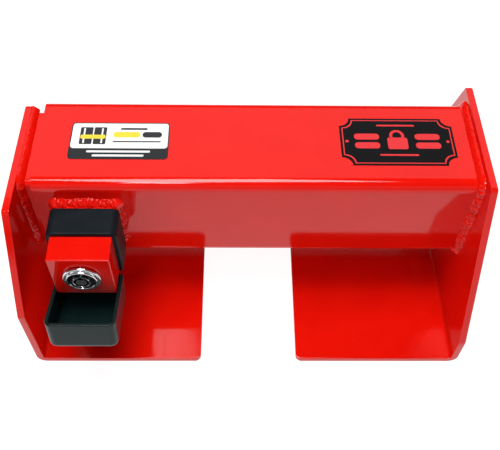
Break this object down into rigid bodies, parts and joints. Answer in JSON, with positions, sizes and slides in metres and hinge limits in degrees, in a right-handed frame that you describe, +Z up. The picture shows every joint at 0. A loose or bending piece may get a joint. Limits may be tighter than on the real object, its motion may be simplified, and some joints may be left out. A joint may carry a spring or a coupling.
{
  "type": "container door lock",
  "caption": "Telescoping steel bar lock that clamps round the two upright lock rods of container or swing doors and is pinned by a push lock under a rubber weather cap.",
  "frame": {"origin": "Bottom centre of the bounding box at rest, on the surface that the claws stand on.", "axes": "+X runs along the telescoping beam from the sliding end to the fixed end; +Y points away from the lock's face; +Z is up, away from the doors in use."},
  "size_m": [0.3112, 0.212, 0.1458],
  "materials": {
    "red_paint": "glossy powder coat",
    "weld_paint": "glossy powder coat over a rippled weld bead",
    "boot_rubber": "satin moulded rubber",
    "cap_rubber": "smooth moulded rubber",
    "bright_chrome": "polished",
    "plug_steel": "satin plating",
    "rotor_metal": "satin, dark in the keyway",
    "pin_brass": "satin",
    "spring_steel": "satin wire",
    "label_print": "printed vinyl",
    "badge_print": "printed vinyl"
  },
  "bodies": {
    "sleeve_side": {"outer_sleeve": "red_paint", "right_end_bracket": "red_paint", "right_weld": "weld_paint", "lock_housing": "red_paint", "housing_weld": "weld_paint", "rubber_boot": "boot_rubber", "info_label": "label_print", "name_badge": "badge_print", "stop_pin": "spring_steel", "spring_washer": "spring_steel", "return_spring": "spring_steel"},
    "slider_side": {"slider_tube": "red_paint", "left_end_bracket": "red_paint", "left_weld": "weld_paint"},
    "push_lock": {"lock_plug": "plug_steel", "lock_bezel": "bright_chrome", "locking_bolt": "plug_steel", "catch_slug": "plug_steel"},
    "rotor": {"key_rotor": "rotor_metal", "tumbler_pins": "pin_brass", "rotor_cam": "plug_steel", "cam_screw": "plug_steel"},
    "cap": {"weather_cap": "cap_rubber"}
  },
  "joints": [
    {"name": "slider_extension", "type": "slide", "parent": "sleeve_side", "child": "slider_side", "axis": [-1, 0, 0], "range_m": [0, 0.1778]},
    {"name": "lock_push", "type": "slide", "parent": "sleeve_side", "child": "push_lock", "axis": [0, 1, 0], "range_m": [0, 0.008], "stiffness_N_per_m": 600, "springref_m": -0.004, "deforming": ["return_spring"]},
    {"name": "key_turn", "type": "hinge", "parent": "push_lock", "child": "rotor", "pos_m": [-0.1083, -0.07654, 0.0997], "axis": [0, 1, 0], "range_deg": [0, 90]},
    {"name": "cap_hinge", "type": "hinge", "parent": "sleeve_side", "child": "cap", "pos_m": [-0.1083, -0.05544, 0.0774], "axis": [-1, 0, 0], "range_deg": [-25, 75], "stiffness_Nm_per_rad": 0.05, "springref_deg": 2.86}
  ]
}
